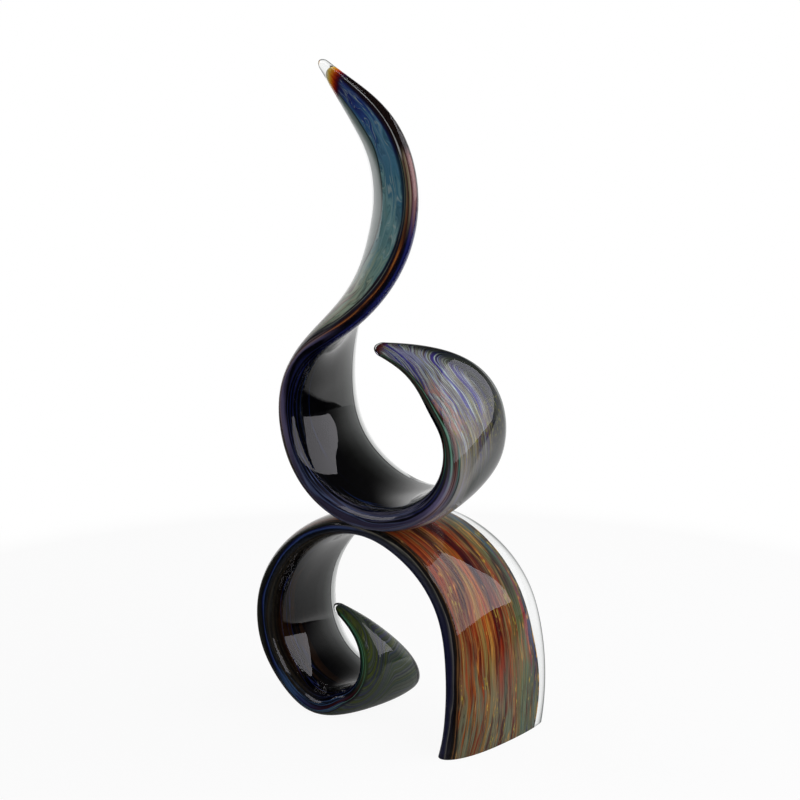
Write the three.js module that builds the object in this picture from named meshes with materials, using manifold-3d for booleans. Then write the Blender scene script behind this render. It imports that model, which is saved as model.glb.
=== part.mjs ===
// Glass sculpture of two curled ribbons of cased glass, one bonded on top of the other.
// Each ribbon is a gather of clear glass round a coloured core. The core has a streaked layer
// on its outer face, an amber veil, a dark layer on its inner face, three canes along its front
// edge and a coloured tip at its thin end. Millimetres, +Z up, ribbons lying across Y. Every
// ribbon is a lens-shaped section swept along a curve, and its pieces are parts of that section.

import * as THREE from 'three';
import { mergeVertices } from 'three/addons/utils/BufferGeometryUtils.js';
import Module from 'manifold-3d';

const wasm = await Module();
wasm.setup();

// Driving sizes of the lower ribbon
const LOWER_WIDTH = 103; // across the ribbon, at the foot
const LOWER_THICKNESS = 19;
const LOWER_SPAN = 180; // from the middle of the leg to the middle of the curl's far side
const CROWN_HEIGHT = 147; // middle of the glass at the top of the arch
const LOWER_BACK_MARGIN = 11; // clear glass left behind the colour, where the layers have their own size
const LOWER_TIP_LENGTH = 18; // green end of the tail's core
const LOWER_TIP_CASE = 3; // clear glass past the end of the core

// Driving sizes of the upper ribbon
const UPPER_WIDTH = 91;
const UPPER_THICKNESS = 18;
const UPPER_SPAN = 138; // across the upper curl, middle to middle
const UPPER_RISE = 305; // from the middle of the glass at the seat to the flame's tip
const UPPER_BACK_MARGIN = 7;
const UPPER_SHIFT = 6; // how far the seat lies from the crown towards the leg
const UPPER_FORWARD = 13; // how far the upper ribbon stands in front of the lower one
const UPPER_TIP_LENGTH = 20; // amber end of the flame's core
const UPPER_TIP_CASE = 11;

// Glass walls and layers, at the full section of a ribbon
const FACE_CASE = 3.2; // clear glass over the two faces
const FRONT_CASE = 3.5; // clear glass in front of the canes
const VEIL = 1.2; // amber veil
const VEIL_INSET = 1.5; // from the back of the core space to the veil
const LAYER_INSET = 3.5; // from the back of the core space to the two coloured layers
const CANE_INSET = 0.8; // from the front of the core space to the canes
const CANE_WIDTH = 4.5;
const CLEARANCE = 0.3; // between pieces that touch
const CANE_GAP = 0.9; // from the canes to the layers behind them

// Ground and bonded flats
const GROUND_GRIND = 2; // taken off the curl where it rests
const SEAT_GRIND = 1.8; // taken off each ribbon where they meet
const BOND = 0.8; // clear film between the two ribbons

// Shape of the section: 2 is an ellipse, more is squarer
const EDGE_POWER = 2.3;
const FACE_POWER = 2;
const CREST = 0.5; // where a leaning section is thickest, as a share of the way to its front

// Rounded ends
const TIP_ROUND = 5;
const CORE_ROUND = 8;
const TIP_STEPS = [0.5, 0.85, 0.98]; // rings in the rounded end, as shares of its length

// Steps across and along the ribbons
const CASING_COLUMNS = 9;
const CORE_COLUMNS = 6;
const CASING_RINGS = 44;
const CORE_RINGS = 36;
const TIP_RINGS = 3;

// Modelling tolerances
const OVERRUN = 1; // how far a cut runs past what it opens
const HEADING_STEP = 0.5; // how far before and behind a point its heading is taken
const WELD = 1e-4; // points closer than this are one

// Stations of each ribbon: sideways from the seat (share of the span), back (share of the
// width), up (share of the height), width share, thickness share, twist in degrees about the
// run, lean (how much thicker the front is than the back), and the clear margin at the back edge
// (share of the width), which narrows or widens the back half of the coloured pieces.
const LOWER_STATIONS = [
  [0.455, 0, -0.155, 1, 1.2, 8, 0.35, 0.11],
  [0.48, 0, -0.015, 1, 1.1, 7, 0.35, 0.09],
  [0.492, 0.01, 0.19, 1, 1.03, 6, 0.35, 0.08],
  [0.483, 0.01, 0.425, 1, 1.06, 4, 0.35, 0.12],
  [0.436, 0.02, 0.645, 0.98, 1.1, 2, 0.35, 0.145],
  [0.336, 0.02, 0.822, 0.96, 1.08, 0, 0.35, 0.145],
  [0.19, 0.01, 0.945, 0.93, 0.97, -1, 0.3, 0.125],
  [0, 0, 1, 0.9, 0.83, -2, 0.3, 0.115],
  [-0.21, -0.01, 0.95, 0.88, 0.88, -1, 0.35, 0.105],
  [-0.39, -0.01, 0.79, 0.88, 0.95, 0, 0.35, 0.1],
  [-0.505, -0.01, 0.535, 0.87, 1, 1, 0.35, 0.09],
  [-0.5, -0.01, 0.275, 0.86, 1, 2, 0.35, 0.08],
  [-0.385, -0.01, 0.075, 0.85, 1, 1, 0.35, 0.07],
  [-0.165, -0.015, 0, 0.85, 1, 3, 0.3, 0.05],
  [-0.075, -0.03, 0.055, 0.73, 0.98, 9, 0.25, 0.03],
  [-0.038, -0.07, 0.21, 0.5, 0.9, 4, 0.15, 0.025],
  [-0.1, -0.12, 0.38, 0.27, 0.7, -5, 0.05, 0.025],
  [-0.245, -0.17, 0.505, 0.05, 0.36, -5, 0, 0.025],
];
const UPPER_STATIONS = [
  [-0.035, -0.15, 0.373, 0.09, 0.38, 25, 0, 0.03],
  [0.18, -0.045, 0.349, 0.35, 0.68, 22, 0.1, 0.03],
  [0.38, 0.035, 0.292, 0.66, 0.85, 14, 0.15, 0.035],
  [0.488, 0.06, 0.205, 0.79, 0.9, 0, 0.2, 0.045],
  [0.47, 0.035, 0.1, 0.87, 1.05, -7, 0.35, 0.055],
  [0.275, 0.01, 0.02, 0.95, 1, -6, 0.35, 0.065],
  [0, 0, 0, 1, 1, -4, 0.35, 0.065],
  [-0.283, 0.01, 0.045, 1, 1.03, -2, 0.35, 0.065],
  [-0.468, 0.035, 0.141, 0.95, 1.03, 0, 0.35, 0.065],
  [-0.505, 0.045, 0.255, 0.92, 1.05, 2, 0.35, 0.065],
  [-0.415, 0.025, 0.365, 0.87, 1.05, 12, 0.35, 0.08],
  [-0.22, 0, 0.472, 0.82, 1.03, 34, 0.3, 0.1],
  [-0.058, -0.015, 0.577, 0.78, 1.03, 52, 0.2, 0.13],
  [0.027, -0.03, 0.69, 0.77, 1, 60, 0.15, 0.145],
  [-0.013, -0.045, 0.815, 0.67, 0.92, 62, 0.1, 0.145],
  [-0.222, -0.045, 0.925, 0.36, 0.7, 62, 0, 0.13],
  [-0.435, -0.045, 1.008, 0.05, 0.36, 60, 0, 0.11],
];
const crown = LOWER_STATIONS.find(([side, , up]) => side === 0 && up === 1);
const curlRest = LOWER_STATIONS.find(([side, , up]) => side < 0 && up === 0);
const upperSeat = UPPER_STATIONS.find(([side, , up]) => side === 0 && up === 0);

// Half the thickness at a station, where the ribbon is thickest.
function halfThickness(station, thickness) {
  const [, , , , share, , lean] = station;
  const rise = (1 - CREST ** EDGE_POWER) ** (1 / FACE_POWER);
  return (thickness / 2) * share * rise * (1 + lean * CREST);
}

const restMiddle = halfThickness(curlRest, LOWER_THICKNESS) - GROUND_GRIND;
const crownHalf = halfThickness(crown, LOWER_THICKNESS);
const seatHeight = CROWN_HEIGHT + crownHalf - SEAT_GRIND;
const upperFlat = seatHeight + BOND + 2 * CLEARANCE;
const upperHalf = halfThickness(upperSeat, UPPER_THICKNESS);

const lower = {
  width: LOWER_WIDTH,
  thickness: LOWER_THICKNESS,
  backMargin: LOWER_BACK_MARGIN,
  tipLength: LOWER_TIP_LENGTH,
  tipCase: LOWER_TIP_CASE,
  stations: LOWER_STATIONS,
  span: LOWER_SPAN,
  rise: CROWN_HEIGHT - restMiddle,
  seat: new THREE.Vector3(0, 0, restMiddle),
  outward: 1,
};
const upper = {
  width: UPPER_WIDTH,
  thickness: UPPER_THICKNESS,
  backMargin: UPPER_BACK_MARGIN,
  tipLength: UPPER_TIP_LENGTH,
  tipCase: UPPER_TIP_CASE,
  stations: UPPER_STATIONS,
  span: UPPER_SPAN,
  rise: UPPER_RISE,
  seat: new THREE.Vector3(UPPER_SHIFT, -UPPER_FORWARD, upperFlat + upperHalf - SEAT_GRIND),
  outward: -1,
};

// Natural cubic spline through one value per knot.
function spline(knots, values) {
  const last = knots.length - 1;
  const bend = new Array(last + 1).fill(0);
  const lead = new Array(last + 1).fill(0);
  for (let i = 1; i < last; i += 1) {
    const before = knots[i] - knots[i - 1];
    const after = knots[i + 1] - knots[i];
    const pivot = 2 * (before + after) - before * lead[i - 1];
    const slopes = (values[i + 1] - values[i]) / after - (values[i] - values[i - 1]) / before;
    lead[i] = after / pivot;
    bend[i] = (6 * slopes - before * bend[i - 1]) / pivot;
  }
  for (let i = last - 1; i > 0; i -= 1) {
    bend[i] -= lead[i] * bend[i + 1];
  }
  return (at) => {
    let i = 0;
    while (i < last - 1 && at > knots[i + 1]) {
      i += 1;
    }
    const gap = knots[i + 1] - knots[i];
    const a = (knots[i + 1] - at) / gap;
    const b = 1 - a;
    const curve = ((a ** 3 - a) * bend[i] + (b ** 3 - b) * bend[i + 1]) * gap ** 2 / 6;
    return a * values[i] + b * values[i + 1] + curve;
  };
}

// The run of a ribbon: where its section lies and how large it is, at a distance along it.
function layRibbon(ribbon) {
  const middles = ribbon.stations.map(([side, back, up]) => ribbon.seat.clone()
    .add(new THREE.Vector3(side * ribbon.span, back * ribbon.width, up * ribbon.rise)));
  const knots = [0];
  for (let i = 1; i < middles.length; i += 1) {
    knots.push(knots[i - 1] + middles[i].distanceTo(middles[i - 1]));
  }
  const channel = (column) => spline(knots, ribbon.stations.map((station) => station[column]));
  const axis = ['x', 'y', 'z'].map((name) => spline(knots, middles.map((point) => point[name])));
  const [width, thickness, twist, lean, margin] = [3, 4, 5, 6, 7].map(channel);
  const middle = (at) => new THREE.Vector3(axis[0](at), axis[1](at), axis[2](at));
  return {
    length: knots[knots.length - 1],
    middle,
    place(at) {
      const along = middle(at + HEADING_STEP).sub(middle(at - HEADING_STEP)).normalize();
      const across = new THREE.Vector3(0, 1, 0).addScaledVector(along, -along.y).normalize();
      const face = across.clone().cross(along).multiplyScalar(ribbon.outward);
      const turn = THREE.MathUtils.degToRad(twist(at));
      return {
        middle: middle(at),
        wide: width(at),
        thick: thickness(at),
        lean: lean(at),
        margin: margin(at) * ribbon.width,
        across: across.clone().multiplyScalar(Math.cos(turn)).addScaledVector(face, Math.sin(turn)),
        face: face.clone().multiplyScalar(Math.cos(turn)).addScaledVector(across, -Math.sin(turn)),
      };
    },
  };
}

// A lens from one edge to the other, as columns from front to back. It gets further columns
// at its seams, where the pieces inside it start and end.
function lens(front, back, half, steps, seams = []) {
  const middle = (front + back) / 2;
  const reach = (back - front) / 2;
  const even = Array.from({ length: steps + 1 }, (_, i) => middle - reach * Math.cos((Math.PI * i) / steps));
  return [...even, ...seams].sort((a, b) => a - b).map((v) => {
    const share = Math.min(1, Math.abs(v - middle) / reach);
    const rise = half * (1 - share ** EDGE_POWER) ** (1 / FACE_POWER);
    return { v, top: rise, bottom: -rise };
  });
}

// The part of a lens between two of its columns, with its own floor and ceiling.
function slice(columns, from, to, limits) {
  return columns.filter(({ v }) => v >= from && v <= to).map((column) => {
    const [bottom, top] = limits(column.top);
    return { v: column.v, top, bottom };
  });
}

// Outline of a section: along its ceiling and back along its floor.
function outline(columns) {
  const ceiling = columns.map(({ v, top }) => new THREE.Vector2(v, top));
  const floor = columns.map(({ v, bottom }) => new THREE.Vector2(v, bottom)).reverse();
  return [...ceiling, ...floor].filter((point, i, all) => {
    const next = all[(i + 1) % all.length];
    return point.distanceTo(next) > WELD;
  });
}

// How much of the section is left at a distance from a rounded end.
function rounding(toEnd, radius) {
  const inside = Math.max(0, 1 - toEnd / radius);
  return Math.sqrt(1 - inside ** 2);
}

// Sweeps a section along a run, drawn in about a point as it comes to its rounded end. The back
// half of an inner section is stretched to leave the margin of its stations.
function sweep(ribbon, run, section, stops, end, radius, pivot, inner) {
  const edge = ribbon.width / 2;
  const points = outline(section);
  const caps = THREE.ShapeUtils.triangulateShape(points, []);
  const size = points.length;
  const vertices = [];
  for (const stop of stops) {
    const place = run.place(stop);
    const share = rounding(end - stop, radius);
    const stretch = inner ? (edge - place.margin) / (edge - ribbon.backMargin) : 1;
    for (const point of points) {
      const plain = pivot + (point.x - pivot) * share;
      const v = plain > 0 ? plain * stretch : plain;
      const swell = 1 - place.lean * v / edge;
      const spot = place.middle.clone()
        .addScaledVector(place.across, v * place.wide)
        .addScaledVector(place.face, point.y * share * place.thick * swell);
      vertices.push(spot.x, spot.y, spot.z);
    }
  }
  // Faces that lie against each other are split along the same diagonal.
  const triangles = [];
  for (let ring = 0; ring < stops.length - 1; ring += 1) {
    for (let i = 0; i < size; i += 1) {
      const j = (i + 1) % size;
      const a = ring * size + i;
      const b = ring * size + j;
      const [here, next] = [points[i], points[j]];
      if (here.x < next.x || (here.x === next.x && here.y < next.y)) {
        triangles.push(a, b, b + size, a, b + size, a + size);
      } else {
        triangles.push(a, b, a + size, b, b + size, a + size);
      }
    }
  }
  const top = (stops.length - 1) * size;
  for (const [a, b, c] of caps) {
    triangles.push(a, b, c, top + a, top + c, top + b);
  }
  return solidOf(vertices, triangles);
}

// A solid from loose vertices and triangles, turned the right way out.
function solidOf(vertices, triangles) {
  let volume = 0;
  const corner = (i) => new THREE.Vector3().fromArray(vertices, 3 * triangles[i]);
  for (let i = 0; i < triangles.length; i += 3) {
    volume += corner(i).dot(corner(i + 1).cross(corner(i + 2)));
  }
  const facing = volume > 0 ? triangles : triangles.slice().reverse();
  return new wasm.Manifold(new wasm.Mesh({
    numProp: 3,
    vertProperties: new Float32Array(vertices),
    triVerts: new Uint32Array(facing),
  }));
}

// A solid from a three.js geometry.
function solidFrom(geometry) {
  const bare = geometry.clone();
  bare.deleteAttribute('normal');
  bare.deleteAttribute('uv');
  const merged = mergeVertices(bare, WELD);
  return solidOf(Array.from(merged.attributes.position.array), Array.from(merged.index.array));
}

// Keeps what lies between two heights.
function between(solid, low, high) {
  const reach = 2 * (LOWER_SPAN + UPPER_SPAN + CROWN_HEIGHT + UPPER_RISE);
  const slab = new THREE.BoxGeometry(reach, reach, high - low);
  slab.translate(0, 0, (low + high) / 2);
  return solid.intersect(solidFrom(slab));
}

function meshOf(name, solid, colour, roughness) {
  const { vertProperties, triVerts } = solid.getMesh();
  const geometry = new THREE.BufferGeometry();
  geometry.setAttribute('position', new THREE.BufferAttribute(new Float32Array(vertProperties), 3));
  geometry.setIndex(new THREE.BufferAttribute(new Uint32Array(triVerts), 1));
  geometry.computeVertexNormals();
  const material = new THREE.MeshStandardMaterial({ color: colour, roughness, metalness: 0 });
  const mesh = new THREE.Mesh(geometry, material);
  mesh.name = name;
  return mesh;
}

// Evenly spaced distances along a run.
function stops(from, to, count) {
  return Array.from({ length: count + 1 }, (_, i) => from + ((to - from) * i) / count);
}

// The same distances, closing into a rounded end.
function roundedStops(from, end, radius, count) {
  const last = TIP_STEPS.map((share) => end - radius * (1 - share));
  return [...stops(from, end - radius, count), ...last];
}

// Clear casing and every coloured piece inside it, for one ribbon.
function buildRibbon(ribbon) {
  const run = layRibbon(ribbon);
  const edge = ribbon.width / 2;
  const half = ribbon.thickness / 2;
  const front = -edge + FRONT_CASE;
  const back = edge - ribbon.backMargin;
  const caneFront = front + CANE_INSET;
  const caneBack = caneFront + CANE_WIDTH;
  const layerFront = caneBack + CANE_GAP;
  const layerBack = back - LAYER_INSET;
  const veilBack = back - VEIL_INSET;
  const seams = [caneFront, caneBack, layerFront, layerBack, veilBack];
  const core = lens(front, back, half - FACE_CASE, CORE_COLUMNS, seams);

  // Distances along the run: the coloured body, its tip, and the space for both in the casing.
  const coreEnd = run.length - ribbon.tipCase;
  const tipStart = coreEnd - ribbon.tipLength;
  const spaceEnd = coreEnd + CLEARANCE;
  const bodyStops = stops(CLEARANCE, tipStart - CLEARANCE, CORE_RINGS);
  const tipStops = roundedStops(tipStart, coreEnd, CORE_ROUND, TIP_RINGS);
  const spaceLast = roundedStops(0, spaceEnd, CORE_ROUND, 1).at(-1);
  const spaceStops = [-OVERRUN, ...bodyStops, ...tipStops, spaceLast];
  const casingStops = roundedStops(0, run.length, TIP_ROUND, CASING_RINGS);

  const pivot = (front + back) / 2;
  const inside = (section, where, end) => sweep(ribbon, run, section, where, end, CORE_ROUND, pivot, true);
  const body = (from, to, limits) => inside(slice(core, from, to, limits), bodyStops, coreEnd);
  const tipSection = slice(core, caneFront, veilBack, (h) => [CLEARANCE - h, h - CLEARANCE]);

  const section = lens(-edge, edge, half, CASING_COLUMNS);
  const outer = sweep(ribbon, run, section, casingStops, run.length, TIP_ROUND, 0, false);
  const veilHalf = VEIL / 2;
  const veil = (h) => Math.min(veilHalf, h - CLEARANCE);
  const third = (h) => (h - 2 * CLEARANCE) / 3;
  const pieces = {
    clear_casing: outer.subtract(inside(core, spaceStops, spaceEnd)),
    streaked_layer: body(layerFront, layerBack, (h) => [veilHalf + CLEARANCE, h - CLEARANCE]),
    amber_veil: body(layerFront, veilBack, (h) => [-veil(h), veil(h)]),
    dark_layer: body(layerFront, layerBack, (h) => [CLEARANCE - h, -veilHalf - CLEARANCE]),
    outer_cane: body(caneFront, caneBack, (h) => [third(h) + CLEARANCE, h - CLEARANCE]),
    middle_cane: body(caneFront, caneBack, (h) => [-third(h), third(h)]),
    inner_cane: body(caneFront, caneBack, (h) => [CLEARANCE - h, -third(h) - CLEARANCE]),
    colored_tip: inside(tipSection, tipStops, coreEnd),
  };
  return { outer, pieces };
}

// Colour and polish of each piece of glass.
const LOWER_LOOKS = {
  clear_casing: [0xe8eef0, 0.02],
  streaked_layer: [0x8a3a1a, 0.1],
  amber_veil: [0xd09a3a, 0.1],
  dark_layer: [0x14141a, 0.1],
  outer_cane: [0x6a6a58, 0.1],
  middle_cane: [0x5f86c8, 0.1],
  inner_cane: [0x1c2668, 0.1],
  colored_tip: [0x2c4a34, 0.1],
};
const UPPER_LOOKS = {
  ...LOWER_LOOKS,
  streaked_layer: [0x2c5f86, 0.1],
  outer_cane: [0xc8782a, 0.1],
  middle_cane: [0x24306e, 0.1],
  inner_cane: [0x5f86c8, 0.1],
  colored_tip: [0xe08a20, 0.1],
};
const FILM_LOOK = [0xf0f2f2, 0.1];

const sculpture = new THREE.Group();
const top = upperFlat + UPPER_RISE + UPPER_THICKNESS;
const lowerGlass = buildRibbon(lower);
const upperGlass = buildRibbon(upper);
for (const [piece, solid] of Object.entries(lowerGlass.pieces)) {
  sculpture.add(meshOf(`lower_${piece}`, between(solid, 0, seatHeight), ...LOWER_LOOKS[piece]));
}
for (const [piece, solid] of Object.entries(upperGlass.pieces)) {
  sculpture.add(meshOf(`upper_${piece}`, between(solid, upperFlat, top), ...UPPER_LOOKS[piece]));
}

// The film fills the gap between the flats, as far as the two unground ribbons would have met.
const meeting = lowerGlass.outer.intersect(upperGlass.outer);
const film = between(meeting, seatHeight + CLEARANCE, upperFlat - CLEARANCE);
sculpture.add(meshOf('seat_bond_film', film, ...FILM_LOOK));

// The origin is under the middle of the sculpture, on the surface that it stands on.
const extent = new THREE.Box3().setFromObject(sculpture);
const middle = extent.getCenter(new THREE.Vector3());
sculpture.position.set(-middle.x, -middle.y, -extent.min.z);

export default sculpture;
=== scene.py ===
# Looks of a glass sculpture: two curled ribbons of cased glass, one bonded on top of the other.
# Sizes are in metres. Each ribbon is swept again, finely, along the same stations as its solids,
# and its glass gets streaks that follow the ribbon.

import math
from dataclasses import dataclass

import bmesh
import bpy
import numpy as np
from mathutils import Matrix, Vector


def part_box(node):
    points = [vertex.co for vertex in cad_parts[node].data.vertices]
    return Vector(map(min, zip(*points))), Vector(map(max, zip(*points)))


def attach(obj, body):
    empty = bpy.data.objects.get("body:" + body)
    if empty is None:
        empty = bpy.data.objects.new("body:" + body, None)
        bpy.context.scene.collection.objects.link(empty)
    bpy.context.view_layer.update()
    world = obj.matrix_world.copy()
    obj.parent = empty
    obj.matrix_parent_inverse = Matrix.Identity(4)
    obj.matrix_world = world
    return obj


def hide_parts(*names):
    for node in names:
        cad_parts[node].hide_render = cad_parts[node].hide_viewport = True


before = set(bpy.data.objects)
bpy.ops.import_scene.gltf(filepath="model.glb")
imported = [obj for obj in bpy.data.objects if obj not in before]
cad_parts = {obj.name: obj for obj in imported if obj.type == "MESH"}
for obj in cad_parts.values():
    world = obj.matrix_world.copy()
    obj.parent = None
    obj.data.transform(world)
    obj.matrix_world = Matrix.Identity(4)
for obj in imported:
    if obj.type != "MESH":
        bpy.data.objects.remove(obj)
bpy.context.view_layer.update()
scene = bpy.context.scene

MM = 0.001
TURN = 2 * math.pi

# Glass walls and layers at the full section of a ribbon, as in the solids
FACE_CASE = 0.0032
FRONT_CASE = 0.0035
VEIL = 0.0012
VEIL_INSET = 0.0015
LAYER_INSET = 0.0035
CANE_INSET = 0.0008
CANE_WIDTH = 0.0045
CLEARANCE = 0.0003
START_CASE = 0.0025
SEAT_GRIND = 0.0018
GROUND_GRIND = 0.002
BOND = 0.0008
EDGE_POWER = 2.3
FACE_POWER = 2
CREST = 0.5

# Ends and steps of the fine surfaces
TIP_ROUND = 0.005
CORE_ROUND = 0.008
HEADING_STEP = 0.0005
RING_STEP = 0.0022
TIP_RINGS = 10
CASING_COLUMNS = 34
CORE_COLUMNS = 28
FUSED = 0.00005  # how far two bodies of fused glass run into each other
SAME_SPOT = 0.00001  # points of a section closer than this are one
END_SHARE = 1e-6  # square of what is left of the section at a rounded end
SHARP_ANGLE = 40

# Soft waves left in the hand-worked surface
WAVE = 0.00003
WAVE_RUN = 0.041
WAVE_ACROSS = 0.052
WAVE_DRIFT = 0.145
WAVE_EDGE = 0.003

# Where the ribbons lie
CROWN_HEIGHT = 0.147
UPPER_RISE = 0.305
UPPER_SHIFT = 0.006
UPPER_FORWARD = 0.013

# Stations: sideways from the seat (share of the span), back (share of the width), up (share of
# the height), width share, thickness share, twist in degrees, lean, and clear glass left behind
# the colour at the back edge (share of the width)
LOWER_STATIONS = np.array([
    (0.455, 0, -0.155, 1, 1.2, 8, 0.35, 0.11),
    (0.48, 0, -0.015, 1, 1.1, 7, 0.35, 0.09),
    (0.492, 0.01, 0.19, 1, 1.03, 6, 0.35, 0.08),
    (0.483, 0.01, 0.425, 1, 1.06, 4, 0.35, 0.12),
    (0.436, 0.02, 0.645, 0.98, 1.1, 2, 0.35, 0.145),
    (0.336, 0.02, 0.822, 0.96, 1.08, 0, 0.35, 0.145),
    (0.19, 0.01, 0.945, 0.93, 0.97, -1, 0.3, 0.125),
    (0, 0, 1, 0.9, 0.83, -2, 0.3, 0.115),
    (-0.21, -0.01, 0.95, 0.88, 0.88, -1, 0.35, 0.105),
    (-0.39, -0.01, 0.79, 0.88, 0.95, 0, 0.35, 0.1),
    (-0.505, -0.01, 0.535, 0.87, 1, 1, 0.35, 0.09),
    (-0.5, -0.01, 0.275, 0.86, 1, 2, 0.35, 0.08),
    (-0.385, -0.01, 0.075, 0.85, 1, 1, 0.35, 0.07),
    (-0.165, -0.015, 0, 0.85, 1, 3, 0.3, 0.05),
    (-0.075, -0.03, 0.055, 0.73, 0.98, 9, 0.25, 0.03),
    (-0.038, -0.07, 0.21, 0.5, 0.9, 4, 0.15, 0.025),
    (-0.1, -0.12, 0.38, 0.27, 0.7, -5, 0.05, 0.025),
    (-0.245, -0.17, 0.505, 0.05, 0.36, -5, 0, 0.025),
])
UPPER_STATIONS = np.array([
    (-0.035, -0.15, 0.373, 0.09, 0.38, 25, 0, 0.03),
    (0.18, -0.045, 0.349, 0.35, 0.68, 22, 0.1, 0.03),
    (0.38, 0.035, 0.292, 0.66, 0.85, 14, 0.15, 0.035),
    (0.488, 0.06, 0.205, 0.79, 0.9, 0, 0.2, 0.045),
    (0.47, 0.035, 0.1, 0.87, 1.05, -7, 0.35, 0.055),
    (0.275, 0.01, 0.02, 0.95, 1, -6, 0.35, 0.065),
    (0, 0, 0, 1, 1, -4, 0.35, 0.065),
    (-0.283, 0.01, 0.045, 1, 1.03, -2, 0.35, 0.065),
    (-0.468, 0.035, 0.141, 0.95, 1.03, 0, 0.35, 0.065),
    (-0.505, 0.045, 0.255, 0.92, 1.05, 2, 0.35, 0.065),
    (-0.415, 0.025, 0.365, 0.87, 1.05, 12, 0.35, 0.08),
    (-0.22, 0, 0.472, 0.82, 1.03, 34, 0.3, 0.1),
    (-0.058, -0.015, 0.577, 0.78, 1.03, 52, 0.2, 0.13),
    (0.027, -0.03, 0.69, 0.77, 1, 60, 0.15, 0.145),
    (-0.013, -0.045, 0.815, 0.67, 0.92, 62, 0.1, 0.145),
    (-0.222, -0.045, 0.925, 0.36, 0.7, 62, 0, 0.13),
    (-0.435, -0.045, 1.008, 0.05, 0.36, 60, 0, 0.11),
])
LOWER_SEAT_STATION = 7
CURL_REST_STATION = 13
UPPER_SEAT_STATION = 6


@dataclass
class Ribbon:
    """One ribbon's sizes, and where its section lies at each distance along it.

    A pointed ribbon starts as a tapering tail, any other at a cut foot. Outward is 1 or -1, the
    side of its outer face.
    """

    name: str
    stations: np.ndarray
    pointed: bool
    outward: int
    width: float
    thickness: float
    span: float
    back_margin: float
    tip_length: float
    tip_case: float

    def half_thickness(self, station):
        """Half the thickness at a station, where the ribbon is thickest."""
        share, lean = self.stations[station, 4], self.stations[station, 6]
        rise = (1 - CREST**EDGE_POWER) ** (1 / FACE_POWER)
        return self.thickness / 2 * share * rise * (1 + lean * CREST)

    def lay(self, seat, rise):
        """Fixes the run: seat is where the shares are counted from, rise the full height."""
        places = self.stations[:, :3] * (self.span, self.width, rise) + seat
        steps = np.linalg.norm(np.diff(places, axis=0), axis=1)
        knots = np.concatenate([[0], np.cumsum(steps)])
        self.length = knots[-1]
        self.channels = spline(knots, np.hstack([places, self.stations[:, 3:]]))

    def place(self, at):
        """How the section lies at distances along the run.

        Returns its middle, the directions across and out of its face, its width share, thickness
        share and lean, and the clear margin at the back edge.
        """
        rows = self.channels(at)
        ahead, behind = self.channels(at + HEADING_STEP), self.channels(at - HEADING_STEP)
        along = unit(ahead[:, :3] - behind[:, :3])
        across = unit(np.array([0.0, 1.0, 0.0]) - along * along[:, 1:2])
        face = np.cross(across, along) * self.outward
        twist = np.radians(rows[:, 5:6])
        twisted_across = across * np.cos(twist) + face * np.sin(twist)
        twisted_face = face * np.cos(twist) - across * np.sin(twist)
        wide, thick, lean, margin = rows[:, 3], rows[:, 4], rows[:, 6], rows[:, 7] * self.width
        return rows[:, :3], twisted_across, twisted_face, wide, thick, lean, margin


def unit(vectors):
    return vectors / np.linalg.norm(vectors, axis=1, keepdims=True)


def spline(knots, values):
    """Natural cubic spline through one row of values per knot."""
    gaps = np.diff(knots)
    slopes = np.diff(values, axis=0) / gaps[:, None]
    matrix = np.eye(len(knots))
    right = np.zeros_like(values)
    for i in range(1, len(knots) - 1):
        matrix[i, i - 1:i + 2] = gaps[i - 1], 2 * (gaps[i - 1] + gaps[i]), gaps[i]
        right[i] = 6 * (slopes[i] - slopes[i - 1])
    bend = np.linalg.solve(matrix, right)

    def at(distances):
        i = np.clip(np.searchsorted(knots, distances) - 1, 0, len(gaps) - 1)
        gap = gaps[i][:, None]
        a = (knots[i + 1] - distances)[:, None] / gap
        b = 1 - a
        curve = ((a**3 - a) * bend[i] + (b**3 - b) * bend[i + 1]) * gap**2 / 6
        return a * values[i] + b * values[i + 1] + curve

    return at


lower = Ribbon(
    "lower", LOWER_STATIONS, pointed=False, outward=1,
    width=0.103, thickness=0.019, span=0.18, back_margin=0.011, tip_length=0.018, tip_case=0.003,
)
upper = Ribbon(
    "upper", UPPER_STATIONS, pointed=True, outward=-1,
    width=0.091, thickness=0.018, span=0.138, back_margin=0.007, tip_length=0.02, tip_case=0.011,
)
rest_middle = lower.half_thickness(CURL_REST_STATION) - GROUND_GRIND
seat_height = CROWN_HEIGHT + lower.half_thickness(LOWER_SEAT_STATION) - SEAT_GRIND
upper_flat = seat_height + BOND + 2 * CLEARANCE
upper_middle = upper_flat + upper.half_thickness(UPPER_SEAT_STATION) - SEAT_GRIND
lower.lay(np.array([0, 0, rest_middle]), CROWN_HEIGHT - rest_middle)
upper.lay(np.array([UPPER_SHIFT, -UPPER_FORWARD, upper_middle]), UPPER_RISE)


# Section of a ribbon: rows of (across, floor, ceiling) from the front edge to the back edge

def lens(front, back, half, steps, seams=()):
    middle, reach = (front + back) / 2, (back - front) / 2
    even = middle - reach * np.cos(np.linspace(0, math.pi, steps + 1))
    v = np.sort(np.concatenate([even, seams]))
    share = np.minimum(1, np.abs(v - middle) / reach)
    rise = half * (1 - share**EDGE_POWER) ** (1 / FACE_POWER)
    return np.column_stack([v, -rise, rise])


def part_of(columns, start, end, limits):
    """The columns between two distances across, with their own floor and ceiling."""
    kept = columns[(columns[:, 0] >= start) & (columns[:, 0] <= end)]
    floor, ceiling = limits(kept[:, 2])
    return np.column_stack([kept[:, 0], floor * np.ones(len(kept)), ceiling * np.ones(len(kept))])


def outline(columns):
    """Points round a section: along its ceiling and back along its floor."""
    ceiling = columns[:, [0, 2]]
    floor = columns[::-1, [0, 1]]
    points = np.concatenate([ceiling, floor])
    apart = np.linalg.norm(points - np.roll(points, -1, axis=0), axis=1) > SAME_SPOT
    return points[apart]


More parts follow.
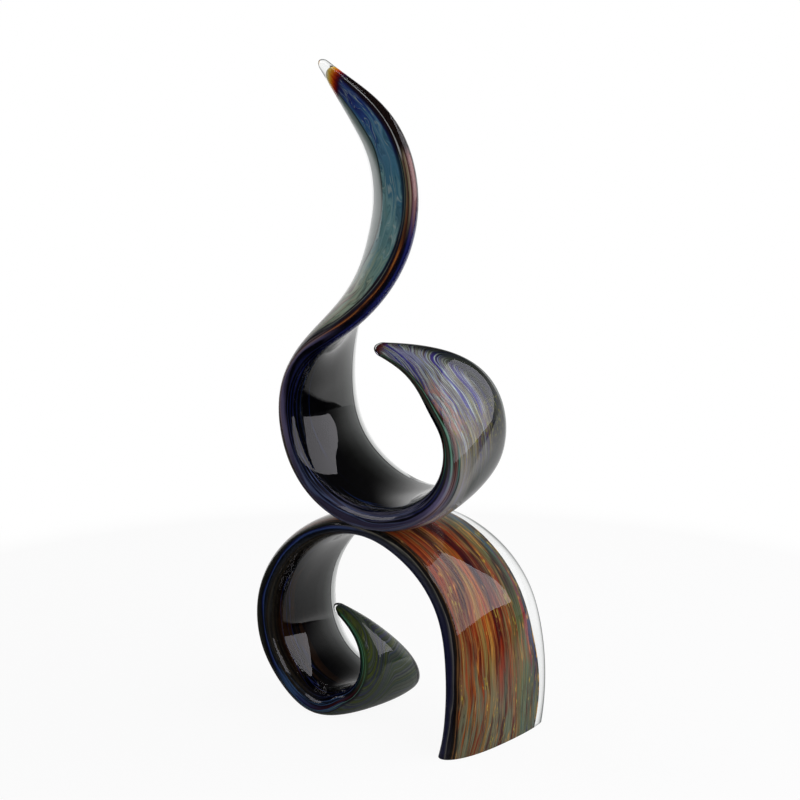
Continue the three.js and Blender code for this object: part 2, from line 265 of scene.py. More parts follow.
def stops(start, end, near_start=0.0, near_end=0.0):
    """Distances along a run, close together within the rounded ends."""
    quarter = np.linspace(0, math.pi / 2, TIP_RINGS)
    first = start + near_start * (1 - np.cos(quarter))
    last = end - near_end * (1 - np.cos(quarter[::-1]))
    count = max(2, round((last[0] - first[-1]) / RING_STEP))
    body = np.linspace(first[-1], last[0], count + 1)
    return np.unique(np.concatenate([first, body, last]))


def rounding(distance, radius):
    """How much of the section is left at a distance from a rounded end."""
    if radius == 0:
        return np.ones_like(distance)
    return np.sqrt(np.maximum(END_SHARE, 1 - np.maximum(0, 1 - distance / radius) ** 2))


def sweep(
    name, ribbon, columns, where,
    start_round=0.0, end_round=0.0, ends=None, pivot=0.0, inner=False, wave=0.0,
):
    """A closed mesh of a section carried along a ribbon.

    The back half of an inner section is stretched to leave the margin of its stations.
    """
    first, last = ends or (where[0], where[-1])
    points = outline(columns)
    middle, across, face, wide, thick, lean, margin = ribbon.place(where)
    share = rounding(where - first, start_round) * rounding(last - where, end_round)
    v = pivot + (points[None, :, 0] - pivot) * share[:, None]
    if inner:
        edge = ribbon.width / 2
        stretch = (edge - margin) / (edge - ribbon.back_margin)
        v = np.where(v > 0, v * stretch[:, None], v)
    swell = 1 - lean[:, None] * v / (ribbon.width / 2)
    height = points[None, :, 1] * share[:, None] * thick[:, None] * swell
    drift = np.sin(TURN * where[:, None] / WAVE_DRIFT)
    waves = np.sin(TURN * (where[:, None] / WAVE_RUN + v / WAVE_ACROSS)) * drift
    height += wave * waves * np.sign(points[None, :, 1]) * np.minimum(1, np.abs(height) / WAVE_EDGE)
    spots = (
        middle[:, None, :]
        + across[:, None, :] * (v * wide[:, None])[..., None]
        + face[:, None, :] * height[..., None]
    )
    across_share = (v / (ribbon.width / 2)).ravel()
    run = np.repeat(where, len(points))
    height_share = np.tile(points[:, 1] / (ribbon.thickness / 2), len(where))
    return skin(name, spots, np.column_stack([across_share, run, height_share]))


def skin(name, spots, ribbon_map):
    """A closed mesh over rings of points, with each point's place on its ribbon."""
    rings, size = spots.shape[:2]
    index = np.arange(rings * size).reshape(rings, size)
    after = np.roll(index, -1, axis=1)
    quads = np.stack([index[:-1], after[:-1], after[1:], index[1:]], axis=-1).reshape(-1, 4)
    faces = quads.tolist() + [index[0, ::-1].tolist(), index[-1].tolist()]
    mesh = bpy.data.meshes.new(name)
    mesh.from_pydata(spots.reshape(-1, 3).tolist(), [], faces)
    attribute = mesh.attributes.new("ribbon", "FLOAT_VECTOR", "POINT")
    attribute.data.foreach_set("vector", ribbon_map.ravel())
    piece = bpy.data.objects.new(name, mesh)
    scene.collection.objects.link(piece)
    return piece


def finish_mesh(piece, low, high):
    """Cuts a piece off flat at two heights, turns it the right way out and smooths it."""
    shape = bmesh.new()
    shape.from_mesh(piece.data)
    for height, outward in ((low, -1), (high, 1)):
        everything = shape.verts[:] + shape.edges[:] + shape.faces[:]
        bmesh.ops.bisect_plane(
            shape, geom=everything, plane_co=(0, 0, height), plane_no=(0, 0, outward), clear_outer=True
        )
        open_edges = [edge for edge in shape.edges if edge.is_boundary]
        if open_edges:
            bmesh.ops.holes_fill(shape, edges=open_edges)
    bmesh.ops.triangulate(shape, faces=[f for f in shape.faces if len(f.verts) > 4])
    bmesh.ops.recalc_face_normals(shape, faces=shape.faces)
    shape.to_mesh(piece.data)
    shape.free()
    piece.data.shade_smooth()
    piece.data.set_sharp_from_angle(angle=math.radians(SHARP_ANGLE))


def veil_limits(height):
    thin = np.minimum(VEIL / 2, height)
    return -thin, thin + FUSED


def core_pieces(ribbon):
    """Every coloured body of glass inside one ribbon's casing."""
    edge, half = ribbon.width / 2, ribbon.thickness / 2
    front, back = -edge + FRONT_CASE, edge - ribbon.back_margin
    cane_front = front + CANE_INSET
    cane_back = cane_front + CANE_WIDTH
    layer_front = cane_back - FUSED
    layer_back, veil_back = back - LAYER_INSET, back - VEIL_INSET
    seams = [cane_front, cane_back, layer_front, layer_back, veil_back]
    core = lens(front, back, half - FACE_CASE, CORE_COLUMNS, seams)
    start = START_CASE if ribbon.pointed else 0.0
    start_round = CORE_ROUND if ribbon.pointed else 0.0
    end = ribbon.length - ribbon.tip_case
    tip_start = end - ribbon.tip_length
    body_stops = stops(start, tip_start, near_start=start_round)
    tip_stops = stops(tip_start, end, near_end=CORE_ROUND)
    plans = {
        "streaked_layer": (layer_front, layer_back, lambda h: (VEIL / 2, h)),
        "amber_veil": (layer_front, veil_back, veil_limits),
        "dark_layer": (layer_front, layer_back, lambda h: (-h, -VEIL / 2 + FUSED)),
        "outer_cane": (cane_front, cane_back, lambda h: (h / 3 - FUSED, h)),
        "middle_cane": (cane_front, cane_back, lambda h: (-h / 3, h / 3)),
        "inner_cane": (cane_front, cane_back, lambda h: (-h, -h / 3 + FUSED)),
        "colored_tip": (cane_front, veil_back, lambda h: (-h, h)),
    }
    pieces = {}
    for part, (from_edge, to_edge, limits) in plans.items():
        where, near_start = (tip_stops, 0.0) if part == "colored_tip" else (body_stops, start_round)
        pieces[part] = sweep(
            f"{ribbon.name}_{part}_fine", ribbon, part_of(core, from_edge, to_edge, limits), where,
            start_round=near_start, end_round=CORE_ROUND, ends=(start, end),
            pivot=(front + back) / 2, inner=True,
        )
    return pieces


def casing(ribbon):
    edge = ribbon.width / 2
    start_round = TIP_ROUND if ribbon.pointed else 0.0
    where = stops(0.0, ribbon.length, near_start=start_round, near_end=TIP_ROUND)
    section = lens(-edge, edge, ribbon.thickness / 2, CASING_COLUMNS)
    return sweep(
        f"{ribbon.name}_clear_casing_fine", ribbon, section, where,
        start_round=start_round, end_round=TIP_ROUND, wave=WAVE,
    )


# Shader helpers

def srgb(red, green, blue):
    """A colour from 0 to 255 per channel, as it looks on screen."""
    def linear(c):
        c /= 255
        return c / 12.92 if c <= 0.04045 else ((c + 0.055) / 1.055) ** 2.4
    return linear(red), linear(green), linear(blue)


class Tree:
    """A material's nodes, with short names for the ones used here."""

    def __init__(self, name):
        self.material = bpy.data.materials.new(name)
        self.material.use_nodes = True
        self.take(self.material.node_tree)

    @classmethod
    def of(cls, node_tree):
        """The same names for a tree that exists, emptied."""
        tree = cls.__new__(cls)
        tree.take(node_tree)
        return tree

    def take(self, node_tree):
        self.nodes = node_tree.nodes
        self.links = node_tree.links
        self.nodes.clear()

    def add(self, kind, inputs=(), **settings):
        """A node with these settings, and a value or link for each input named by its label or place."""
        node = self.nodes.new(kind)
        for key, value in settings.items():
            setattr(node, key, value)
        for key, value in dict(inputs).items():
            self.feed(node.inputs[key], value)
        return node

    def feed(self, socket, value):
        if isinstance(value, bpy.types.NodeSocket):
            self.links.new(value, socket)
        elif isinstance(value, tuple) and socket.type == "RGBA":
            socket.default_value = (*value, 1)
        else:
            socket.default_value = value

    def math(self, operation, a, b=0.0, c=0.0):
        return self.add("ShaderNodeMath", {0: a, 1: b, 2: c}, operation=operation).outputs[0]

    def ramp(self, factor, stops):
        """Colours by place: stops are (place, (red, green, blue)), colours from 0 to 255."""
        node = self.add("ShaderNodeValToRGB", {"Fac": factor})
        elements = node.color_ramp.elements
        while len(elements) < len(stops):
            elements.new(0.5)
        for element, (place, colour) in zip(elements, stops):
            element.position = place
            element.color = (*srgb(*colour), 1)
        return node.outputs["Color"]

    def zones(self, place, stops):
        """Colours by a place in mm, with stops as in a ramp."""
        first, last = stops[0][0], stops[-1][0]
        share = self.math("DIVIDE", self.math("SUBTRACT", place, first), last - first)
        return self.ramp(share, [((mm - first) / (last - first), colour) for mm, colour in stops])

    def mix(self, factor, a, b):
        return self.add("ShaderNodeMix", {0: factor, 6: a, 7: b}, data_type="RGBA").outputs[2]

    def mix_value(self, factor, a, b):
        return self.add("ShaderNodeMix", {0: factor, 2: a, 3: b}, data_type="FLOAT").outputs[0]

    def window(self, value, start, end):
        """0 before start and 1 after end, smooth between; the other way round if end comes first."""
        low, high = min(start, end), max(start, end)
        before, after = (0.0, 1.0) if start < end else (1.0, 0.0)
        inputs = {"Value": value, "From Min": low, "From Max": high, "To Min": before, "To Max": after}
        return self.add("ShaderNodeMapRange", inputs, interpolation_type="SMOOTHSTEP").outputs["Result"]

    def between(self, value, start, full, last, end):
        """1 from full to last, and 0 before start and after end."""
        return self.times(self.window(value, start, full), self.window(value, end, last))

    def times(self, *factors):
        product = factors[0]
        for factor in factors[1:]:
            product = self.math("MULTIPLY", product, factor)
        return product

    def total(self, *terms):
        result = terms[0]
        for term in terms[1:]:
            result = self.math("ADD", result, term)
        return result

    def larger(self, a, b):
        return self.math("MAXIMUM", a, b)

    def blend(self, share, first, second):
        """Ends the tree in a mix of two shaders, by the share of the second."""
        mix = self.add("ShaderNodeMixShader", {0: share, 1: first.outputs[0], 2: second.outputs[0]})
        self.add("ShaderNodeOutputMaterial", {"Surface": mix.outputs[0]})


# How the noise of the streaks is scaled, and how dull the coloured glass is inside the clear one
NOISE_GAIN = 1.6
NOISE_ROUGHNESS = 0.55
SEED_STEP = 1.7
PATCH_SPREAD = 0.64
PATCH_EDGE = 0.05
BODY_ROUGHNESS = 0.5


class Streaks(Tree):
    """Glass drawn out along a ribbon.

    Places are in mm: across it, along its run, and around its front edge, which is 0 there,
    above 0 on the outer side and below 0 on the inner side.
    """

    def __init__(self, name, ribbon, seed):
        super().__init__(name)
        where = self.add("ShaderNodeAttribute", attribute_name="ribbon")
        split = self.add("ShaderNodeSeparateXYZ", {0: where.outputs["Vector"]})
        self.edge = ribbon.width / 2 / MM
        self.across = self.math("MULTIPLY", split.outputs["X"], self.edge)
        self.run = self.math("DIVIDE", split.outputs["Y"], MM)
        rise = self.math("MULTIPLY", split.outputs["Z"], ribbon.thickness / 2 / MM)
        nose = -self.edge + (FRONT_CASE + CANE_INSET) / MM
        depth = self.math("MULTIPLY", self.math("SUBTRACT", self.across, nose), self.math("SIGN", rise))
        self.around = self.math("ADD", rise, depth)
        self.first_seed = seed
        self.seed = seed

    def restart(self, seed):
        """Starts a layer of colour on its own noise, so that pieces that share it match."""
        self.seed = self.first_seed + seed

    def along(self, start, end):
        """A window on the distance along the run."""
        return self.window(self.run, start, end)

    def stretch(self, start, full, last, end):
        """1 on a stretch of the run, from full to last."""
        return self.between(self.run, start, full, last, end)

    def cloud(self, flow, wide, long, detail=2.0):
        """Soft noise around 0, from about -0.5 to 0.5, so wide across the flow and so long along it."""
        self.seed += SEED_STEP
        across, onward = self.math("DIVIDE", flow, wide), self.math("DIVIDE", self.run, long)
        spot = self.add("ShaderNodeCombineXYZ", {0: across, 1: onward, 2: self.seed}).outputs[0]
        inputs = {"Vector": spot, "Scale": 1.0, "Detail": detail, "Roughness": NOISE_ROUGHNESS}
        noise = self.add("ShaderNodeTexNoise", inputs, noise_dimensions="3D").outputs["Fac"]
        return self.math("MULTIPLY_ADD", noise, NOISE_GAIN, -NOISE_GAIN / 2)

    def stray(self, place, flow, *clouds):
        """The place, pushed about by noise: each cloud is (wide, long, detail, reach), in the flow."""
        for wide, long, detail, reach in clouds:
            place = self.total(place, self.times(self.cloud(flow, wide, long, detail), reach))
        return place

    def lines(self, flow, wide, long, thin, detail=1.0):
        """Thin threads: 1 on the lines where soft noise changes sign."""
        level = self.math("ABSOLUTE", self.cloud(flow, wide, long, detail))
        return self.window(level, thin, 0.0)

    def patches(self, flow, wide, long, share, detail=2.0):
        """1 in about the given share of the surface, as patches with soft edges."""
        level = self.cloud(flow, wide, long, detail)
        edge = PATCH_SPREAD * (0.5 - share)
        return self.window(level, edge - PATCH_EDGE, edge + PATCH_EDGE)

    def under(self, colour, layers):
        """The colour under layers: each is (tint, factors...), as strong as their product."""
        for tint, *factors in layers:
            colour = self.mix(self.times(*factors), colour, srgb(*tint))
        return colour

    def shaded(self, colour, flow, wide, long, amount):
        """The colour, lighter and darker in streaks by up to about half the amount."""
        light = self.stray(1.0, flow, (wide, long, 3, amount))
        return self.add("ShaderNodeVectorMath", {0: colour, "Scale": light}, operation="SCALE").outputs[0]

    def fan(self, tip_run, centre):
        """Flow that runs along the ribbon and turns round a point near its thin start."""
        before = self.larger(self.math("SUBTRACT", tip_run, self.run), 0.0)
        beside = self.math("SUBTRACT", self.across, centre)
        square = self.total(self.times(before, before), self.times(beside, beside))
        return self.math("SQRT", square)

    def solid(self, colour):
        """An opaque body inside clear glass, whose gloss comes from the glass."""
        inputs = {"Base Color": colour, "Roughness": BODY_ROUGHNESS, "Specular IOR Level": 0.0}
        shader = self.add("ShaderNodeBsdfPrincipled", inputs)
        self.add("ShaderNodeOutputMaterial", {"Surface": shader.outputs[0]})
        return self.material


# Colours of the glass and of painted light and shade: red, green and blue from 0 to 255
BLACK = (8, 8, 11)
SOOT = (24, 24, 26)
# painted reflection on the upper tail
REFLECTED_GREY = (168, 168, 164)
WHITE = (206, 228, 224)
# painted shade where the upper ribbon sits on the lower one
PAINTED_SEAT_SHADE = (20, 20, 32)
MIDNIGHT = (28, 28, 66)
NAVY = (16, 18, 44)
COBALT = (40, 52, 116)
DEEP_BLUE = (28, 52, 104)
ULTRAMARINE = (42, 46, 132)
VIOLET = (58, 54, 150)
SLATE_BLUE = (78, 76, 128)
SKY = (84, 122, 172)
PALE_BLUE = (112, 128, 172)
# painted reflection of a lamp on the upper tail, near its tip
REFLECTED_GREY_BLUE = (132, 134, 168)
# painted sheen of a lamp on the upper curl's band
LILAC_SHEEN = (108, 106, 132)
DEEP_TEAL = (34, 70, 88)
PALE_TEAL = (184, 204, 198)
PLUM = (36, 13, 22)
MULBERRY = (64, 34, 44)
WINE = (84, 24, 20)
DARK_RED = (92, 34, 30)
SHADE_RED = (44, 26, 28)
RUST = (168, 54, 20)
ROSE = (164, 118, 108)
MAUVE = (138, 104, 96)
UMBER = (46, 34, 26)
BARK = (56, 40, 34)
BROWN = (62, 38, 20)
OCHRE = (142, 120, 62)
AMBER = (180, 132, 50)
GOLD = (206, 146, 66)
YELLOW = (178, 158, 58)
CREAM = (196, 190, 164)
LIME = (150, 150, 40)
MOSS = (98, 110, 40)
OLIVE = (88, 92, 56)
SAGE = (100, 114, 92)
FERN = (58, 80, 56)
DARK_GREEN = (26, 34, 26)


def arch_face(glass):
    """Outer face of the lower ribbon: rust, orange and olive streaks, blue at the back, painted shade at the
    top.
    """
    glass.restart(10)
    flow = glass.stray(glass.across, glass.across, (45, 50, 1, 7))
    place = glass.stray(flow, flow, (6, 140, 2, 12), (1.5, 70, 4, 14))
    colour = glass.zones(place, [
        (-47, (54, 28, 22)), (-44, (170, 96, 46)), (-41, (128, 60, 30)), (-38, (142, 114, 64)),
        (-35, (104, 34, 20)), (-32, (160, 82, 38)), (-29, (104, 98, 68)), (-26, (120, 42, 22)),
        (-23, (150, 94, 48)), (-19, (128, 110, 62)), (-15, (170, 112, 44)), (-12, (132, 46, 22)),
        (-8, (72, 22, 18)), (-4, (50, 18, 26)), (0, (116, 48, 28)), (4, (126, 112, 76)), (8, (152, 70, 36)),
        (11, (104, 32, 22)), (14, (132, 96, 54)), (18, (108, 118, 82)), (23, (88, 108, 82)),
        (27, (54, 88, 92)), (31, (36, 54, 102)), (35, (22, 30, 56)), (39, BLACK),
    ])
    colour = glass.under(colour, [
        (SAGE, glass.along(110, 25), glass.patches(flow, 3.2, 70, 0.6), 0.85),
        (RUST, glass.along(30, 75), glass.patches(flow, 5, 60, 0.3), 0.6),
        (OLIVE, glass.window(flow, -6, 14), glass.patches(flow, 2.8, 60, 0.5), 0.7),
        (WINE, glass.patches(flow, 2.2, 50, 0.3), 0.7),
        # painted shade: dark plum patches over the top of the arch, from run 90 to 130 on
        (PLUM, glass.along(90, 130), glass.patches(flow, 7, 60, 0.38), 0.75),
        (GOLD, glass.lines(flow, 3.4, 80, 0.03), glass.patches(flow, 12, 50, 0.6), 0.75),
        (PLUM, glass.lines(flow, 2.6, 60, 0.04, 3), 0.6),
        (YELLOW, glass.patches(flow, 1.2, 6, 0.2), glass.patches(flow, 9, 50, 0.3), 0.75),
    ])
    return glass.shaded(colour, flow, 0.6, 50, 1.2)


def tail_face(glass):
    """The lower tail: dark olive grey glass, with streaks that turn across it."""
    glass.restart(30)
    turn = glass.times(glass.window(glass.across, 8, -44), 30)
    flow = glass.stray(glass.total(glass.run, turn), glass.across, (40, 60, 1, 4))
    place = glass.stray(0.5, flow, (9, 400, 2, 0.6), (2.2, 300, 3, 0.55))
    colour = glass.ramp(place, [
        (0.0, (38, 44, 38)), (0.24, (74, 76, 102)), (0.34, (58, 66, 54)), (0.46, (100, 108, 94)),
        (0.56, (56, 74, 62)), (0.66, (92, 100, 58)), (0.76, (66, 86, 80)), (0.88, (84, 82, 118)),
        (1.0, (122, 132, 118)),
    ])
    edge = glass.times(glass.window(glass.across, -14, -30), glass.along(462, 484))
    colour = glass.under(colour, [
        (MOSS, edge, glass.patches(flow, 4, 60, 0.45), 0.8),
        (SLATE_BLUE, glass.lines(flow, 12, 400, 0.03), 0.35),
    ])
    return glass.shaded(colour, flow, 1.2, 60, 0.4)


def lower_band(glass):
    """Front edge of the lower ribbon: black with thin navy, blue, cream and brown lines."""
    glass.restart(50)
    place = glass.stray(glass.around, glass.around, (5, 80, 2, 4))
    arch = glass.zones(place, [
        (-15, BLACK), (-9, (14, 14, 22)), (-7, (30, 34, 90)), (-6, (50, 56, 128)), (-5.2, (26, 28, 52)),
        (-3.4, (44, 48, 68)), (-1.6, (62, 64, 76)), (-0.4, (36, 38, 48)), (0.6, (90, 90, 84)),
        (1.0, (138, 134, 118)), (1.4, (40, 38, 38)), (2.6, (16, 14, 14)), (4.0, (30, 24, 20)),
        (4.6, (112, 78, 46)), (5.2, (50, 34, 26)), (6.0, (14, 12, 12)), (7.0, (40, 44, 36)),
        (8.0, (112, 108, 88)), (8.6, (26, 22, 22)), (11, (60, 26, 18)),
    ])
    curl = glass.zones(place, [
        (-20, BLACK), (-16, (18, 16, 15)), (-13, (42, 36, 29)), (-11.4, (28, 26, 26)), (-9, (58, 52, 42)),
        (-7, (38, 38, 38)), (-5, (68, 64, 56)), (-3.4, (50, 42, 34)), (-2, (46, 50, 56)),
        (-0.6, (24, 28, 40)), (0.1, (72, 96, 156)), (0.6, (42, 52, 114)), (1.2, (22, 24, 30)),
        (2.4, (54, 54, 50)), (3.6, (72, 72, 66)), (4.6, (48, 46, 42)), (5.6, (120, 84, 60)),
        (6.4, (58, 42, 34)), (8.0, (46, 48, 44)), (9.0, (112, 110, 92)), (11, (40, 34, 30)),
    ])
    tail = glass.zones(place, [
        (-14, BLACK), (-11, (26, 28, 56)), (-9.6, (50, 66, 112)), (-9, NAVY), (-6, BLACK),
        (-4.2, (24, 28, 56)), (-3.6, (70, 100, 146)), (-3.0, (18, 22, 40)), (-1.0, (14, 12, 16)),
        (0.4, (64, 24, 32)), (1.6, (26, 12, 18)), (2.4, (124, 160, 146)), (2.8, (32, 46, 46)),
        (4.6, (34, 38, 34)), (5.6, (60, 44, 62)), (6.6, (28, 32, 26)), (8.0, (108, 146, 88)),
        (8.6, (44, 56, 38)), (11, (50, 56, 38)),
    ])
    green = glass.zones(place, [
        (-4, (16, 20, 16)), (-2.6, (44, 84, 60)), (-1.8, (24, 32, 24)), (-0.6, (90, 146, 112)),
        (0.2, (34, 50, 36)), (1.6, (104, 150, 96)), (2.4, (44, 60, 38)), (4, (82, 112, 62)),
        (6, (48, 62, 40)), (9, (74, 96, 56)),
    ])
    colour = glass.under(arch, [(MIDNIGHT, glass.along(150, 90), glass.window(place, 3, -1), 0.7)])
    colour = glass.mix(glass.along(195, 245), colour, curl)
    colour = glass.mix(glass.along(405, 445), colour, tail)
    threads = glass.times(glass.patches(place, 0.9, 60, 0.4), glass.window(place, -8, -5))
    colour = glass.under(colour, [(SKY, glass.stretch(380, 410, 435, 468), threads, 0.8)])
    return glass.mix(glass.along(468, 500), colour, green)


def lower_inner(glass):
    """Inner face of the lower ribbon: black, brown and blue in front, grey at the back as painted light."""
    glass.restart(70)
    flow = glass.stray(glass.across, glass.across, (40, 60, 1, 6))
    # The grey towards the back edge is painted light: the white glow the face shows there.
    colour = glass.zones(flow, [
        (-20, BLACK), (0, BLACK), (14, (22, 23, 22)), (26, (58, 60, 58)), (36, (104, 107, 104)),
        (42, (140, 144, 140)),
    ])
    return glass.under(colour, [
        (BROWN, glass.patches(flow, 10, 70, 0.3), glass.window(flow, 4, -16), 0.6),
        (COBALT, glass.lines(flow, 8, 120, 0.03), glass.window(flow, -12, -26), 0.8),
    ])


def leaf_face(glass):
    """The upper tail: olive grey, with blue, purple and white streaks that turn at the tip, and painted
    reflections.
    """
    glass.restart(10)
    flow = glass.stray(glass.fan(66, 20), glass.across, (24, 26, 1, 5))
    place = glass.stray(0.5, flow, (4.4, 120, 2, 0.7), (1.3, 80, 3, 0.75))
    colour = glass.ramp(place, [
        (0.0, (38, 34, 96)), (0.14, ULTRAMARINE), (0.22, (70, 64, 112)), (0.3, (72, 74, 56)),
        (0.4, (146, 152, 130)), (0.48, (84, 62, 66)), (0.56, (176, 184, 170)), (0.62, (66, 62, 158)),
        (0.68, (104, 104, 78)), (0.78, (98, 60, 84)), (0.88, (190, 204, 192)), (1.0, (58, 68, 48)),
    ])
    colour = glass.under(colour, [
        (WHITE, glass.lines(flow, 3.0, 100, 0.045, 2), glass.along(135, 95), 0.9),
        (VIOLET, glass.patches(flow, 2.6, 110, 0.22, 1), 0.8),
        (MULBERRY, glass.lines(flow, 2.0, 80, 0.05, 2), 0.7),
        (UMBER, glass.along(82, 96), glass.patches(flow, 5, 60, 0.6), 0.6),
        (OCHRE, glass.lines(flow, 2.2, 50, 0.06, 2), glass.stretch(78, 92, 125, 155), 0.8),
    ])
    back = glass.window(glass.stray(glass.across, glass.across, (20, 30, 2, 14)), 8, 26)
    front = glass.window(glass.across, -16, -26)
    # Painted reflection of a lamp: lilac-grey patches on a stretch near the tip, on the front half.
    light = glass.times(glass.stretch(10, 22, 34, 46), glass.window(glass.across, 10, 0))
    colour = glass.under(colour, [
        (DARK_GREEN, back, glass.along(10, 34), 0.88),
        (LIME, glass.patches(flow, 1.1, 4, 0.2), glass.stretch(70, 84, 105, 125), 0.7),
        # painted reflection: a grey haze across the whole width, from run 98 to 185
        (REFLECTED_GREY, glass.stretch(98, 130, 150, 185), 0.62),
        (ROSE, glass.patches(flow, 2.6, 9, 0.45), front, glass.stretch(44, 58, 88, 104), 0.75),
        (REFLECTED_GREY_BLUE, light, glass.patches(flow, 4, 30, 0.5), 0.7),
        (DARK_RED, glass.along(11, 4)),
    ])
    return glass.shaded(colour, flow, 0.9, 70, 0.5)


def flame_face(glass):
    """The flame: sage and teal marbled glass, ultramarine to its tip, a pale painted reflection at its back
    edge.
    """
    glass.restart(30)
    swirl = glass.along(370, 440)
    small, large = glass.times(swirl, 24), glass.total(4, glass.times(swirl, 10))
    flow = glass.stray(glass.across, glass.across, (15, 26, 1, small), (50, 60, 1, large))
    place = glass.stray(glass.run, flow, (10, 50, 3, 70), (2.4, 50, 3, 45))
    colour = glass.zones(place, [
        (350, (100, 92, 74)), (378, (140, 152, 124)), (404, (176, 192, 168)), (432, (140, 170, 156)),
        (452, (106, 152, 156)), (472, (134, 176, 180)), (492, (76, 128, 152)), (512, (100, 146, 178)),
        (528, (60, 104, 150)), (546, (52, 80, 146)), (565, (44, 48, 120)), (588, (36, 28, 84)),
    ])
    colour = glass.under(colour, [
        (MAUVE, glass.patches(flow, 5, 44, 0.45), glass.along(430, 400), 0.8),
        (CREAM, glass.patches(flow, 2.4, 60, 0.35, 3), glass.along(440, 400), 0.7),
        (BARK, glass.lines(flow, 5, 70, 0.04, 2), glass.along(440, 410), 0.7),
        (PALE_TEAL, glass.lines(flow, 7, 40, 0.04, 2), glass.along(400, 460), 0.65),
        (DEEP_TEAL, glass.lines(flow, 6, 60, 0.05, 3), 0.45),
    ])
    colour = glass.shaded(colour, flow, 1.2, 60, 0.35)
    # Painted reflection of white paper on the back half past run 400: a dark line, then paler towards the
    # edge.
    edge = glass.stray(glass.across, glass.run, (70, 70, 1, 8))
    clear = glass.zones(edge, [
        (1, (62, 84, 84)), (3, (36, 48, 48)), (4, (58, 76, 74)), (6, (112, 130, 126)), (16, (150, 164, 160)),
        (30, (188, 196, 194)),
    ])
    clear = glass.shaded(clear, flow, 2, 60, 0.15)
    return glass.mix(glass.times(glass.window(edge, 0, 2.5), glass.along(400, 430)), colour, clear)


